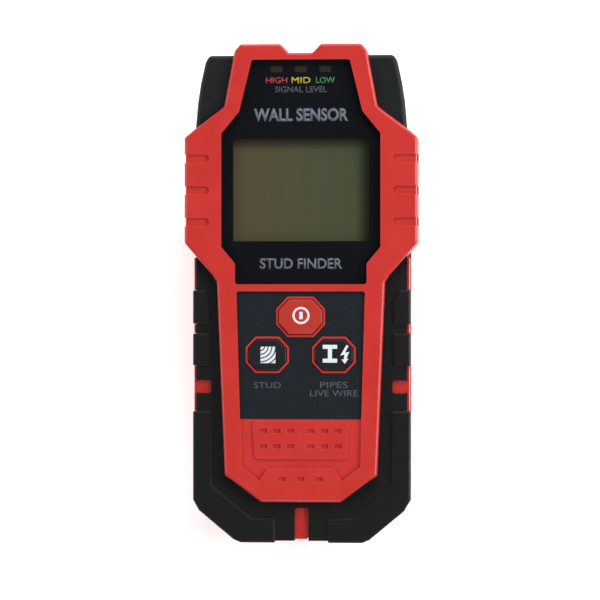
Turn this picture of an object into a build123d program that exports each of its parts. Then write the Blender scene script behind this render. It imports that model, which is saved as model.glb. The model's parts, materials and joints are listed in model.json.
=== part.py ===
"""Hand-held stud finder, lying on its back with its face up.

X runs to the right, Y towards the sensing end with its signal lights, Z up through the face.
The origin is the middle of the glide pads' lowest plane. Millimetres.
"""
from build123d import *
import os
from math import radians, tan

os.makedirs("parts", exist_ok=True)

# ---- Overall sizes
body_length = 163.0      # tail of the grip to the tips of the horns
body_width = 76.2        # across the wings
wall = 2.0               # moulded wall of both shells
parting_z = 17.0         # where the two shells meet

# ---- Clearances
slip = 0.15              # pieces laid in a recess
seat_gap = 0.2           # stacked pieces that must not rub
key_gap = 0.25           # key to its collar
door_gap = 0.3           # battery door to the sole

# ---- Ends and sides that other places are measured from
horn_y = body_length / 2
tail_y = -body_length / 2
wing_half = body_width / 2
flange_half = wing_half - 2.5      # rear shell beside the grip
waist_half = wing_half - 10.6      # frame beside the top of the keypad
wing_top, wing_foot = horn_y - 30.5, 16.5
neck_y = horn_y - 22.0             # foot of the neck between wings and horns
waist_y = 3.7

# ---- Sole, glide pads and door
glide_proud, glide_sunk = 0.6, 0.3
glide_width, glide_length, glide_corner = 7.0, 22.0, 1.85
sole_draft = 4.0                   # degrees, sides lean in towards the sole
sole_edge = 1.2                    # bevel round the sole
rear_corner = 1.6                  # corners of the rear shell's outline
door_thick = 1.8

# ---- Battery: nine-volt block
battery_wide, battery_thick, battery_long = 26.5, 17.5, 46.2
battery_gap, battery_corner = 0.5, 1.8
bay_wall, bay_roof = 1.5, 1.2
terminal_x, terminal_r, terminal_long = 6.35, 3.4, 2.3
snap_size, snap_thick = (25.0, 12.0), 3.2
cushion_thick, cushion_half, cushion_inset = 0.6, 9.0, 6.0
hinge_y = tail_y + 4.9             # tail end of the door
tab_clear = 4.2                    # room for the door's tabs to turn
tab_x, tab_half, tab_hook, tab_thick = 8.0, 3.0, 1.3, 1.15
tab_gap, tab_root = 0.25, 1.2
tab_swing = 2.4                    # height of the tabs' windows
tongue_half, tongue_thick, tongue_high, tongue_inset = 5.0, 1.2, 3.0, 0.6
thumb_inset, thumb_dish, thumb_depth = 8.5, (15.0, 8.0), 0.7
thumb_bar, thumb_bar_high, thumb_bar_pitch = (9.0, 1.0), 0.5, 2.2
door_groove, door_groove_depth, door_groove_pitch = (34.0, 1.4), 0.4, 6.0
door_end_room = 2.6
lead_r, lead_snap_x, lead_board_x, lead_bend = 0.6, 4.0, 5.0, 1.4

# ---- Main board and switches
board_room = 0.5                   # board above the battery bay
board_thick = 1.6
board_half_wing, board_half, board_half_top = wing_half - 7.1, waist_half - 4.9, wing_half - 21.6
board_top = horn_y - 6.5
board_reach = 16.0                 # board's foot below the side keys
post_r, post_hole_r = 2.3, 0.95
switch_size, switch_floor = 6.0, 0.1
plunger_r, plunger_gap = 1.6, 0.25
key_travel = 0.5
led_high = 1.1

# ---- Display
backlight_thick, lcd_glass = 1.2, 0.9
bezel_thick, adhesive_thick, window_thick = 1.75, 0.15, 1.3
window_sunk = 0.6                  # lens below the frame's face
window_lip, lip_thick = 1.2, 1.1   # shelf under the lens
window_half, window_foot_half = wing_half - 12.0, waist_half - 5.9
window_neck_half, window_top_half = wing_half - 17.9, wing_half - 22.0
window_foot, window_bend_low, window_bend_high = 3.0, 15.2, wing_top + 1.3
window_top = horn_y - 5.1
window_corner = 1.0
view_half, view_foot, view_top = window_half - 3.7, 17.1, wing_top - 0.1
lcd_margin = 1.0
lcd_ledge = 3.6                    # lower glass that sticks out for the contact strip
light_pitch, light_width, light_height = 8.0, 4.0, 2.0
light_y = horn_y - 8.15

# ---- Front frame
frame_corner = 1.3                 # corners of the frame's outline
rim_round = 1.0                    # rounded outer edge of the frame's face
notch_half, notch_depth = 3.9, 2.9
horn_inner, horn_outer = 6.6, wing_half - 18.3
frame_foot_half = waist_half - 1.9
shelf_drop = 5.3                   # shelf for grip and shoulders, below the face
shelf_half = flange_half - 2.6
shelf_corner = 1.5
ceiling = 1.8                      # thickness above the inner hollow

# ---- Finger grooves on the wings
groove_width, groove_depth, groove_reach = 2.8, 0.6, 8.1
groove_pitch, groove_margin = 10.35, 6.9
groove_count = 1 + int((wing_top - wing_foot - 2 * groove_margin) / groove_pitch + 0.01)
groove_nick, groove_foot = 0.45, 4.0

# ---- Keypad
panel_top, panel_foot = 0.6, tail_y + 40.6
panel_half_top, panel_half_foot = waist_half - 6.6, frame_foot_half - 5.9
panel_thick, panel_sunk = 0.8, 0.7
panel_corners = [0.8, 0.15, 0.15, 0.8]
floor_thick = 1.8                  # frame floor under the panel
collar_proud, collar_wall = 0.35, 0.65
key_proud = 0.4                    # key above the frame's face
key_flange, key_flange_thick = 1.0, 0.9
power_size, power_corner = (14.2, 11.4), (3.3, 3.6)
side_size, side_corner = (12.4, 10.1), (2.8, 3.0)
power_spot = (0, -7.6)
wood_spot, metal_spot = (-10.9, -20.0), (10.9, -20.0)
key_edge = 0.45
board_foot = wood_spot[1] - board_reach

# ---- Lower thumb pad
dish_half, dish_depth = panel_half_foot - 0.1, 0.8
dish_bend, dish_foot = tail_y + 25.1, tail_y + 20.3
dish_step_half, dish_step_top = 10.85, tail_y + 24.3
pad_half_top, pad_half_foot, pad_proud = dish_half - 3.7, dish_half - 4.7, 0.5
pad_foot = tail_y + 27.5
pit_size, pit_depth, pit_corner = (2.5, 1.6), 0.5, 0.3
pit_rows, pit_columns = (tail_y + 36.6, tail_y + 31.6), (3.3, 7.8, 12.2)
low_pit_y, low_pit_pitch = tail_y + 20.9, 6.1

# ---- Soft grip
skin_drop = 3.5                    # grip's skin below the frame's face
grip_half = flange_half - 1.0
grip_top = wing_foot - 3.0
grip_pad_proud, grip_pad_reach, grip_pad_edge = 0.7, 5.4, 0.45
grip_bottom_gap = 0.4              # skirt above the rear shell's flange
pad_a, pad_b, pad_c_top = (1.1, -9.9), (-13.1, -23.6), tail_y + 43.0
slot_y, slot_height, slot_reach, slot_corner = -30.5, 4.4, 5.9, 0.9
tail_slot_half, tail_slot_top = 2.3, tail_y + 11.4
rib_sunk = 1.1                     # red ribs below the skin they show through
sill_gap, sill_inset = 0.1, 0.3    # red sills beside the grip, between its pads
sill_top = wing_foot - 4.6

# ---- Shoulders
shoulder_drop, shoulder_draft = 2.2, 4.5
shoulder_corner, shoulder_round = 2.0, 1.5

# ---- Case screws
boss_r, screw_hole_r, screw_r = 3.2, 1.5, 1.3
screw_head_r, screw_head = 2.5, 1.8
counterbore_r, counterbore_z = 2.8, 5.0
boss_spots = [
    (wing_half - 12.7, horn_y - 15.5), (flange_half - 7.3, 7.0), (flange_half - 8.4, tail_y + 21.5),
]
glide_spots = [(flange_half - 9.1, wing_top - 17.0), (flange_half - 10.1, tail_y + 49.5)]
board_posts = [
    (wing_half - 9.5, wing_top - 6.5), (wing_half - 9.5, wing_foot + 4.0),
    (board_half - 3.6, board_foot + 4.0),
]
board_screw_r, board_screw_head = 1.9, 1.3
cross_long, cross_wide, cross_deep = 2.6, 0.6, 1.0

# ---- Sensing end
coil_y, coil_r_out, coil_r_in, coil_high = horn_y - 40.5, 18.0, 13.5, 5.0
former_wall = 1.0
link_y = coil_y - 24.0
pin_count, pin_pitch, pin_wide, header_high = 6, 2.54, 0.64, 2.5
sensor_board_half, sensor_board_foot, sensor_board_top = 21.0, link_y - 5.0, horn_y - 11.0
sensor_board_thick, sensor_post_inset = 1.2, 3.0
plate_size, plate_thick, plate_gap, plate_pitch, plate_count = (26.0, 12.0), 0.3, 0.4, 15.5, 3
sole_groove, sole_groove_depth, sole_groove_pitch, sole_groove_count = (30.0, 1.6), 0.5, 6.0, 5

# ---- Parts on the main board
led_size = (3.2, 1.6)
chip_size, chip_thick, chip_y = 10.0, 1.4, wing_top - 21.0
can_r, can_high = 2.5, 6.0
can_spots = [(17.0, wing_top - 25.0), (17.0, wing_top - 17.0), (-17.0, wing_top - 25.0)]
sounder_r, sounder_high, sounder_hole_r, sounder_y = 6.0, 3.2, 1.2, horn_y - 19.5
strip_inset = 2.0                  # contact strip's ends from the glass's ends

# ---- Heights, stacked up from the floor through battery, board and display to the face
sole_z = glide_proud
sole_top = sole_z + wall
door_top = sole_z + door_thick
battery_bottom = door_top + 2 * seat_gap
battery_top = battery_bottom + battery_thick
bay_ceiling = battery_top + cushion_thick
board_bottom = bay_ceiling + bay_roof + board_room
board_face = board_bottom + board_thick
lcd_bottom = board_face + backlight_thick
lcd_top = lcd_bottom + 2 * lcd_glass
bezel_top = lcd_top + bezel_thick
lip_top = bezel_top
lens_bottom = lip_top + adhesive_thick
lens_top = lens_bottom + window_thick
face_z = lens_top + window_sunk
panel_z = face_z - panel_sunk - panel_thick
hollow_z = panel_z - floor_thick
shelf_z = face_z - shelf_drop
skin_z = face_z - skin_drop
shoulder_z = face_z - shoulder_drop
rib_top = skin_z - rib_sunk
key_flange_top = hollow_z - seat_gap
key_flange_bottom = key_flange_top - key_flange_thick
plunger_bottom = board_face + switch_floor + key_travel + 0.1
switch_top = key_flange_bottom - key_travel - seat_gap

# ---- Places along the battery bay
battery_foot = hinge_y + tab_clear
battery_head = battery_foot + battery_long
snap_end = battery_head + terminal_long + snap_thick
bay_half = battery_wide / 2 + battery_gap
bay_foot = hinge_y - door_gap
bay_head = snap_end + door_end_room


# ---- Outlines, each given as its right-hand half from top to foot
def frame_points():
    """Red front frame: horns, neck, wings, waist and pointed foot."""
    return [
        (notch_half, horn_y - notch_depth), (horn_inner, horn_y), (horn_outer, horn_y),
        (horn_outer + 1.9, horn_y - 2.3), (wing_half - 13.0, neck_y + 1.6), (wing_half - 10.6, neck_y - 0.3),
        (wing_half - 2.8, wing_top + 2.3), (wing_half, wing_top), (wing_half, wing_foot),
        (wing_half - 2.0, wing_foot - 2.3), (waist_half + 1.4, waist_y + 2.3), (waist_half, waist_y),
        (waist_half - 1.3, -28.0), (frame_foot_half - 0.7, tail_y + 22.0),
        (frame_foot_half - 2.9, tail_y + 20.7), (frame_foot_half - 12.6, tail_y + 13.4),
    ]


def rear_points():
    """Rear shell: shoulders, wings, flange beside the grip and cut-off tail corners."""
    return [
        (notch_half, horn_y - notch_depth - 0.5), (horn_inner, horn_y - 0.8),
        (horn_outer + 0.5, horn_y - 0.8),
        (horn_outer + 2.2, horn_y - 3.6), (wing_half - 8.9, horn_y - 3.7), (wing_half - 7.4, horn_y - 6.2),
        (wing_half - 4.5, neck_y + 1.0), (wing_half - 3.9, wing_top + 2.6),
        (wing_half - 0.6, wing_top - 0.4), (wing_half - 0.6, wing_foot + 0.4), (flange_half, wing_foot - 2.4),
        (flange_half, tail_y + 13.6), (flange_half - 2.0, tail_y + 10.6), (flange_half - 14.0, tail_y + 1.1),
    ]


def shelf_points():
    """Shelf of the front shell that carries the shoulders and the grip."""
    return [
        (wing_half - 11.3, horn_y - 5.2), (wing_half - 9.5, horn_y - 7.2), (wing_half - 6.5, neck_y + 0.5),
        (wing_half - 5.9, wing_top + 1.0), (shelf_half, wing_top - 5.0), (shelf_half, tail_y + 14.6),
        (flange_half - 15.0, tail_y + 2.6),
    ]


def grip_points():
    """Soft grip's base, inside the raised pads."""
    return [
        (grip_half, grip_top), (grip_half, tail_y + 14.3), (grip_half - 2.0, tail_y + 10.6),
        (flange_half - 13.5, tail_y + 1.3), (flange_half - 15.7, tail_y + 0.6),
    ]


def pad_outlines():
    """Raised pads of the grip's right side: two blocks, then one that runs round the corner."""
    inner = flange_half - grip_pad_reach
    return [
        [(flange_half, pad_a[0]), (flange_half, pad_a[1]), (inner, pad_a[1]), (inner, pad_a[0] - 4.0),
         (inner + 1.8, pad_a[0])],
        [(flange_half, pad_b[0]), (flange_half, pad_b[1]), (inner, pad_b[1]), (inner, pad_b[0])],
        [(flange_half, pad_c_top), (inner - 0.6, pad_c_top), (inner - 0.9, tail_y + 18.7),
         (flange_half - 19.2, tail_y + 8.1), (8.7, tail_y + 7.7), (8.7, tail_y),
         (flange_half - 15.7, tail_y), (flange_half - 13.3, tail_y + 1.0),
         (flange_half - 1.9, tail_y + 10.5), (flange_half, tail_y + 13.9)],
    ]


def shoulder_points():
    """Outer edge of both shoulder covers."""
    return [
        (wing_half - 7.8, horn_y - 3.4), (wing_half - 6.5, horn_y - 5.6), (wing_half - 5.0, horn_y - 12.5),
        (wing_half - 4.0, horn_y - 19.0), (wing_half - 3.3, wing_top + 3.3),
        (wing_half - 3.3, wing_top - 1.0),
    ]


def window_points():
    """Opening that the lens lies in."""
    return [
        (window_top_half, window_top), (window_neck_half, neck_y), (window_half, window_bend_high),
        (window_half, window_bend_low), (window_foot_half, window_bend_low - 5.4),
        (window_foot_half, window_foot),
    ]


def board_points():
    """Main board, wide across the wings."""
    return [
        (board_half_top, board_top), (board_half_top, neck_y + 1.5), (board_half, wing_top + 4.0),
        (board_half_wing, wing_top - 2.0), (board_half_wing, wing_foot + 0.5),
        (board_half, wing_foot - 4.5), (board_half, board_foot),
    ]


def octagon_points(size, corner, grow=0.0):
    """Cut-corner key outline, grown by a clearance."""
    half_x, half_y = size[0] / 2 + grow, size[1] / 2 + grow
    cut_x, cut_y = corner[0] + grow * 0.5, corner[1] + grow * 0.5
    return [
        (half_x - cut_x, half_y), (half_x, half_y - cut_y),
        (half_x, cut_y - half_y), (half_x - cut_x, -half_y),
    ]


def panel_points(grow=0.0):
    """Keypad inlay, narrower towards its foot, grown by a clearance."""
    return [(panel_half_top + grow, panel_top + grow), (panel_half_foot + grow, panel_foot - grow)]


def both_sides(right):
    """Right-hand points followed by their mirror image, as one closed loop."""
    return right + [(-x, y) for x, y in reversed(right)]


def trace(points, radius=0.0, mode=Mode.ADD):
    """Closed outline with rounded corners, as a face of the current sketch."""
    with BuildLine() as outline:
        FilletPolyline(*points, radius=radius, close=True)
    make_face(outline.edges(), mode=mode)


def box_between(low, high, mode=Mode.ADD):
    """Block between two opposite corners."""
    size = [b - a for a, b in zip(low, high)]
    middle = [(a + b) / 2 for a, b in zip(low, high)]
    with Locations(tuple(middle)):
        Box(*size, mode=mode)


def both(spots):
    """Each place and its mirror image across the centre line."""
    return [(side * x, y) for x, y in spots for side in (-1, 1)]


def keep(name, builder):
    """Label a finished piece and write its STEP file."""
    builder.part.label = name
    export_step(builder.part, f"parts/{name}.step")


keys = {
    "power": (power_spot, power_size, power_corner),
    "wood": (wood_spot, side_size, side_corner),
    "metal": (metal_spot, side_size, side_corner),
}

# ======== Front shell ========
with BuildPart() as front_shell:
    with BuildSketch(Plane.XY.offset(parting_z)):
        trace(both_sides(frame_points()), frame_corner)
    extrude(amount=face_z - parting_z)
    fillet(front_shell.faces().sort_by(Axis.Z)[-1].edges(), rim_round)
    with BuildSketch(Plane.XY.offset(parting_z)):
        trace(both_sides(shelf_points()), shelf_corner)
    extrude(amount=shelf_z - parting_z)
    # red ribs that show through the grip's slots
    rib_inner = flange_half - slot_reach + slip
    tail_rib_top, tail_rib_foot = tail_slot_top - slip, tail_y + 1.1
    with BuildSketch(Plane.XY.offset(parting_z)):
        with Locations(*both([((rib_inner + grip_half) / 2, slot_y)])):
            RectangleRounded(grip_half - rib_inner, slot_height - 2 * slip, slot_corner - slip)
        with Locations((0, (tail_rib_top + tail_rib_foot) / 2)):
            RectangleRounded(2 * (tail_slot_half - slip), tail_rib_top - tail_rib_foot, slot_corner - slip)
    extrude(amount=rib_top - parting_z)
    # inner hollow, deeper under the frame than under the shelf
    with BuildSketch(Plane.XY.offset(parting_z)):
        trace(both_sides(shelf_points()), shelf_corner)
        offset(amount=-wall, kind=Kind.INTERSECTION)
    extrude(amount=shelf_z - ceiling - parting_z, mode=Mode.SUBTRACT)
    with BuildSketch(Plane.XY.offset(parting_z)):
        trace(both_sides(frame_points()), frame_corner)
        offset(amount=-wall, kind=Kind.INTERSECTION)
    extrude(amount=hollow_z - parting_z, mode=Mode.SUBTRACT)
    # wall round the display that carries the lip under the lens
    with BuildSketch(Plane.XY.offset(board_face + seat_gap)):
        trace(both_sides(window_points()), window_corner)
        offset(amount=ceiling, kind=Kind.INTERSECTION)
    extrude(amount=lip_top - board_face - seat_gap)
    with BuildSketch(Plane.XY.offset(board_face + seat_gap)):
        trace(both_sides(window_points()), window_corner)
    extrude(amount=lip_top - lip_thick - board_face - seat_gap, mode=Mode.SUBTRACT)
    with BuildSketch(Plane.XY.offset(board_face)):
        trace(both_sides(window_points()), window_corner)
        offset(amount=-window_lip, kind=Kind.INTERSECTION)
    extrude(amount=face_z - board_face, mode=Mode.SUBTRACT)
    with BuildSketch(Plane.XY.offset(lip_top)):
        trace(both_sides(window_points()), window_corner)
    extrude(amount=face_z - lip_top, mode=Mode.SUBTRACT)
    # keypad recess, and the dish round the thumb pad below it
    with BuildSketch(Plane.XY.offset(face_z)):
        trace(both_sides(panel_points(slip)), panel_corners)
    extrude(amount=-panel_sunk - panel_thick, mode=Mode.SUBTRACT)
    with BuildSketch(Plane.XY.offset(face_z)):
        trace(both_sides([
            (panel_half_foot + slip, panel_foot), (dish_half, dish_bend), (13.4, dish_foot),
            (dish_step_half, dish_step_top),
        ]), 0.5)
    extrude(amount=-dish_depth, mode=Mode.SUBTRACT)
    with BuildSketch(Plane.XY.offset(face_z - dish_depth)):
        trace(both_sides([(pad_half_top, panel_foot - 0.7), (pad_half_foot, pad_foot)]), 0.9)
    extrude(amount=pad_proud)
    with BuildSketch(Plane.XY.offset(face_z - dish_depth + pad_proud)):
        with Locations(*both([(x, y) for x in pit_columns for y in pit_rows])):
            RectangleRounded(*pit_size, pit_corner)
    extrude(amount=-pit_depth, mode=Mode.SUBTRACT)
    with BuildSketch(Plane.XY.offset(face_z)):
        with Locations((0, low_pit_y)):
            with GridLocations(low_pit_pitch, 0, 3, 1):
                RectangleRounded(*pit_size, pit_corner)
    extrude(amount=-pit_depth, mode=Mode.SUBTRACT)
    # collars round the keys, and the openings inside them
    for spot, size, corner in keys.values():
        with BuildSketch(Plane.XY.offset(panel_z).shift_origin((*spot, panel_z))):
            trace(both_sides(octagon_points(size, corner, key_gap + collar_wall)), 0.8)
        extrude(amount=panel_thick + collar_proud)
        with BuildSketch(Plane.XY.offset(hollow_z).shift_origin((*spot, hollow_z))):
            trace(both_sides(octagon_points(size, corner, key_gap)), 0.6)
        extrude(amount=face_z - hollow_z, mode=Mode.SUBTRACT)
    # finger grooves, which also nick the wing's side
    for side in (-1, 1):
        for step in range(groove_count):
            y = wing_top - groove_margin - step * groove_pitch
            with BuildSketch(Plane.XY.offset(face_z)):
                with Locations((side * wing_half, y)):
                    SlotOverall(2 * groove_reach, groove_width)
            extrude(amount=-groove_depth, mode=Mode.SUBTRACT)
            nick_inner, nick_outer = sorted((side * (wing_half - groove_nick), side * (wing_half + 1)))
            box_between((nick_inner, y - groove_width / 2, parting_z + groove_foot),
                        (nick_outer, y + groove_width / 2, face_z + 1), Mode.SUBTRACT)
    # posts for the main board and for the case screws
    with BuildSketch(Plane.XY.offset(board_face)):
        with Locations(*both(board_posts)):
            Circle(post_r)
    extrude(amount=hollow_z + 0.2 - board_face)
    with BuildSketch(Plane.XY.offset(board_face)):
        with Locations(*both(board_posts)):
            Circle(post_hole_r)
    extrude(amount=hollow_z - 0.6 - board_face, mode=Mode.SUBTRACT)
    with BuildSketch(Plane.XY.offset(parting_z)):
        with Locations(*both(boss_spots)):
            Circle(boss_r)
    extrude(amount=shelf_z - 1.0 - parting_z)
    with BuildSketch(Plane.XY.offset(parting_z)):
        with Locations(*both(boss_spots)):
            Circle(screw_r)
    extrude(amount=shelf_z - ceiling - 0.6 - parting_z, mode=Mode.SUBTRACT)
keep("front_shell", front_shell)

# ======== Rear shell, battery door and glides ========
with BuildPart() as rear_shell:
    with BuildSketch(Plane.XY.offset(parting_z)):
        trace(both_sides(rear_points()), rear_corner)
    extrude(amount=sole_edge - (parting_z - sole_z), taper=sole_draft)
    sole_lean = (parting_z - sole_z - sole_edge) * tan(radians(sole_draft))
    with BuildSketch(Plane.XY.offset(sole_z + sole_edge)):
        trace(both_sides(rear_points()), rear_corner)
        offset(amount=-sole_lean, kind=Kind.INTERSECTION)
    extrude(amount=-sole_edge, taper=45)
    with BuildSketch(Plane.XY.offset(parting_z)):
        trace(both_sides(rear_points()), rear_corner)
        offset(amount=-wall, kind=Kind.INTERSECTION)
    extrude(amount=-(parting_z - sole_top), taper=sole_draft, mode=Mode.SUBTRACT)
    # walls and roof of the battery bay; the wall at the terminal end is low, for the leads
    outer_half = bay_half + bay_wall
    roof_end = battery_head + battery_gap
    tall_foot = battery_foot - battery_gap
    low_roof = parting_z - 3.0
    bay_bottom, bay_top = sole_z + 0.5, bay_ceiling + bay_roof
    box_between((-outer_half, bay_foot - bay_wall, bay_bottom), (outer_half, bay_head + bay_wall, low_roof))
    box_between((-outer_half, tall_foot - bay_wall, bay_bottom), (outer_half, roof_end, bay_top))
    box_between((-bay_half, bay_foot, 0), (bay_half, bay_head, low_roof - bay_roof), Mode.SUBTRACT)
    box_between((-bay_half, tall_foot, 0), (bay_half, roof_end, bay_ceiling), Mode.SUBTRACT)
    box_between((-bay_half, roof_end - 1, sole_top), (bay_half, bay_head, parting_z), Mode.SUBTRACT)
    # windows in the tail wall for the door's tabs
    for x in (-tab_x, tab_x):
        box_between((x - tab_half - door_gap, bay_foot - bay_wall - 0.5, sole_top),
                    (x + tab_half + door_gap, bay_foot + 0.5, sole_top + tab_swing), Mode.SUBTRACT)
    # case screw bosses
    with BuildSketch(Plane.XY.offset(sole_top - 1)):
        with Locations(*both(boss_spots)):
            Circle(boss_r)
    extrude(amount=parting_z - sole_top + 1)
    with BuildSketch(Plane.XY):
        with Locations(*both(boss_spots)):
            Circle(screw_hole_r)
    extrude(amount=parting_z, mode=Mode.SUBTRACT)
    with BuildSketch(Plane.XY):
        with Locations(*both(boss_spots)):
            Circle(counterbore_r)
    extrude(amount=counterbore_z, mode=Mode.SUBTRACT)
    # pockets for the glides
    with BuildSketch(Plane.XY.offset(sole_z + glide_sunk)):
        with Locations(*both(glide_spots)):
            RectangleRounded(glide_width + 2 * slip, glide_length + 2 * slip, glide_corner + slip)
    extrude(amount=-1, mode=Mode.SUBTRACT)
    # posts that carry the sensor board
    sensor_board_bottom = sole_top + plate_gap + plate_thick
    sensor_post_x = sensor_board_half - sensor_post_inset
    sensor_posts = [(sensor_post_x, sensor_board_top - sensor_post_inset),
                    (sensor_post_x, sensor_board_foot + sensor_post_inset)]
    with BuildSketch(Plane.XY.offset(sole_top - 0.5)):
        with Locations(*both(sensor_posts)):
            Circle(post_r)
    extrude(amount=sensor_board_bottom - sole_top + 0.5)
    # grooves across the sole at the sensing end
    with BuildSketch(Plane.XY.offset(sole_z)):
        with Locations((0, coil_y)):
            with GridLocations(0, sole_groove_pitch, 1, sole_groove_count):
                SlotOverall(*sole_groove)
    extrude(amount=sole_groove_depth, mode=Mode.SUBTRACT)
    # sills that stand beside the grip wherever it has no pad
    for top, foot in ((sill_top, pad_a[0]), (pad_a[1], pad_b[0]), (pad_b[1], pad_c_top)):
        for side in (-1, 1):
            inner, outer = sorted((side * (grip_half + sill_gap), side * (flange_half - sill_inset)))
            box_between((inner, foot + slip, parting_z - 0.5), (outer, top - slip, rib_top))
keep("rear_shell", rear_shell)

with BuildPart() as glide_pads:
    with BuildSketch(Plane.XY):
        with Locations(*both(glide_spots)):
            RectangleRounded(glide_width, glide_length, glide_corner)
    extrude(amount=glide_proud + glide_sunk)
keep("glide_pads", glide_pads)

door_half = bay_half - door_gap
with BuildPart() as battery_door:
    box_between((-door_half, hinge_y, sole_z), (door_half, bay_head - door_gap, door_top))
    fillet(battery_door.edges().filter_by(Axis.Z), 0.3)
    # tabs that hook over the sole at the tail
    tab_foot = sole_top + tab_gap
    tab_top, tab_end, inside = tab_foot + tab_thick, hinge_y + tab_root, door_top - 0.2
    for x in (-tab_x, tab_x):
        box_between((x - tab_half, hinge_y, inside), (x + tab_half, tab_end, tab_top))
        box_between((x - tab_half, hinge_y - tab_hook, tab_foot), (x + tab_half, tab_end, tab_top))
    # springy tongue at the other end
    tongue_y = bay_head - door_gap - tongue_inset
    tongue_top = door_top + tongue_high
    box_between((-tongue_half, tongue_y - tongue_thick, inside), (tongue_half, tongue_y, tongue_top))
    # thumb grip: a dished end with raised bars
    with BuildSketch(Plane.XY.offset(sole_z)):
        with Locations((0, bay_head - thumb_inset)):
            SlotOverall(*thumb_dish)
    extrude(amount=thumb_depth, mode=Mode.SUBTRACT)
    with BuildSketch(Plane.XY.offset(sole_z + thumb_depth)):
        with Locations((0, bay_head - thumb_inset)):
            with GridLocations(0, thumb_bar_pitch, 1, 3):
                SlotOverall(*thumb_bar)
    extrude(amount=-thumb_bar_high)
    # long shallow grooves down the door
    with BuildSketch(Plane.XY.offset(sole_z)):
        with Locations((0, (hinge_y + bay_head - thumb_inset) / 2 - 1.75)):
            with GridLocations(door_groove_pitch, 0, 3, 1):
                SlotOverall(*door_groove, rotation=90)
    extrude(amount=door_groove_depth, mode=Mode.SUBTRACT)
keep("battery_door", battery_door)

with BuildPart() as case_screws:
    with BuildSketch(Plane.XY.offset(counterbore_z - screw_head)):
        with Locations(*both(boss_spots)):
            Circle(screw_head_r)
    extrude(amount=screw_head)
    with BuildSketch(Plane.XY.offset(counterbore_z)):
        with Locations(*both(boss_spots)):
            Circle(screw_r - 0.05)
    extrude(amount=shelf_z - ceiling - 1.6 - counterbore_z)
    with BuildSketch(Plane.XY.offset(counterbore_z - screw_head)):
        with Locations(*both(boss_spots)):
            Rectangle(cross_long, cross_wide)
            Rectangle(cross_wide, cross_long)
    extrude(amount=cross_deep, mode=Mode.SUBTRACT)
keep("case_screws", case_screws)

# ======== Soft grip ========
with BuildPart() as soft_grip:
    skirt_z = parting_z + grip_bottom_gap
    with BuildSketch(Plane.XY.offset(skirt_z)):
        trace(both_sides(grip_points()), 1.2)
    extrude(amount=skin_z - skirt_z)
    pad_skin = skin_z + grip_pad_proud
    with BuildSketch(Plane.XY.offset(skirt_z + 0.6)):
        for outline in pad_outlines():
            trace(outline, 0.5)
        mirror(about=Plane.YZ)
    extrude(amount=pad_skin - skirt_z - 0.6)
    chamfer(soft_grip.faces().group_by(Axis.Z)[-1].edges(), grip_pad_edge)
    # room for the frame, the shelf and the red ribs
    with BuildSketch(Plane.XY.offset(parting_z)):
        trace(both_sides(frame_points()), frame_corner)
    extrude(amount=face_z - parting_z, mode=Mode.SUBTRACT)
    with BuildSketch(Plane.XY.offset(parting_z)):
        trace(both_sides(shelf_points()), shelf_corner)
    extrude(amount=shelf_z - parting_z, mode=Mode.SUBTRACT)
    with BuildSketch(Plane.XY.offset(parting_z)):
        for side in (-1, 1):
            with Locations((side * flange_half, slot_y)):
                RectangleRounded(2 * slot_reach, slot_height, slot_corner)
        with Locations((0, tail_slot_top - 7.5)):
            RectangleRounded(2 * tail_slot_half, 15.0, slot_corner)
    extrude(amount=face_z - parting_z, mode=Mode.SUBTRACT)
keep("soft_grip", soft_grip)

# ======== Shoulder covers ========
for name, side in (("left_shoulder", -1), ("right_shoulder", 1)):
    with BuildPart() as shoulder:
        with BuildSketch(Plane.XY.offset(shoulder_z)):
            trace(both_sides(shoulder_points()), shoulder_corner)
        extrude(amount=parting_z + grip_bottom_gap - shoulder_z, taper=shoulder_draft)
        fillet(shoulder.faces().sort_by(Axis.Z)[-1].edges(), shoulder_round)
        with BuildSketch(Plane.XY.offset(parting_z)):
            trace(both_sides(frame_points()), frame_corner)
        extrude(amount=face_z - parting_z, mode=Mode.SUBTRACT)
        with BuildSketch(Plane.XY.offset(parting_z)):
            trace(both_sides(shelf_points()), shelf_corner)
        extrude(amount=shelf_z - parting_z, mode=Mode.SUBTRACT)
        split(bisect_by=Plane.YZ, keep=Keep.TOP if side > 0 else Keep.BOTTOM)
    keep(name, shoulder)

# ======== Display stack ========
with BuildPart() as display_window:
    with BuildSketch(Plane.XY.offset(lens_bottom)):
        trace(both_sides(window_points()), window_corner)
        offset(amount=-slip, kind=Kind.INTERSECTION)
    extrude(amount=window_thick)
    chamfer(display_window.faces().sort_by(Axis.Z)[-1].edges(), 0.2)
keep("display_window", display_window)

with BuildPart() as window_adhesive:
    with BuildSketch(Plane.XY.offset(lip_top)):
        trace(both_sides(window_points()), window_corner)
        offset(amount=-slip, kind=Kind.INTERSECTION)
    extrude(amount=adhesive_thick)
    with BuildSketch(Plane.XY.offset(lip_top)):
        trace(both_sides(window_points()), window_corner)
        offset(amount=-window_lip, kind=Kind.INTERSECTION)
    extrude(amount=adhesive_thick, mode=Mode.SUBTRACT)
keep("window_adhesive", window_adhesive)

with BuildPart() as display_bezel:
    with BuildSketch(Plane.XY.offset(lcd_top)):
        trace(both_sides(window_points()), window_corner)
        offset(amount=-window_lip - slip, kind=Kind.INTERSECTION)
    extrude(amount=bezel_top - lcd_top)
    box_between((-view_half, view_foot, lcd_top), (view_half, view_top, face_z), Mode.SUBTRACT)
    with BuildSketch(Plane.XY.offset(lcd_top)):
        with Locations((0, light_y)):
            with GridLocations(light_pitch, 0, 3, 1):
                Rectangle(light_width + 0.1, light_height + 0.1)
    extrude(amount=bezel_top - lcd_top, mode=Mode.SUBTRACT)
keep("display_bezel", display_bezel)

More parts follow.
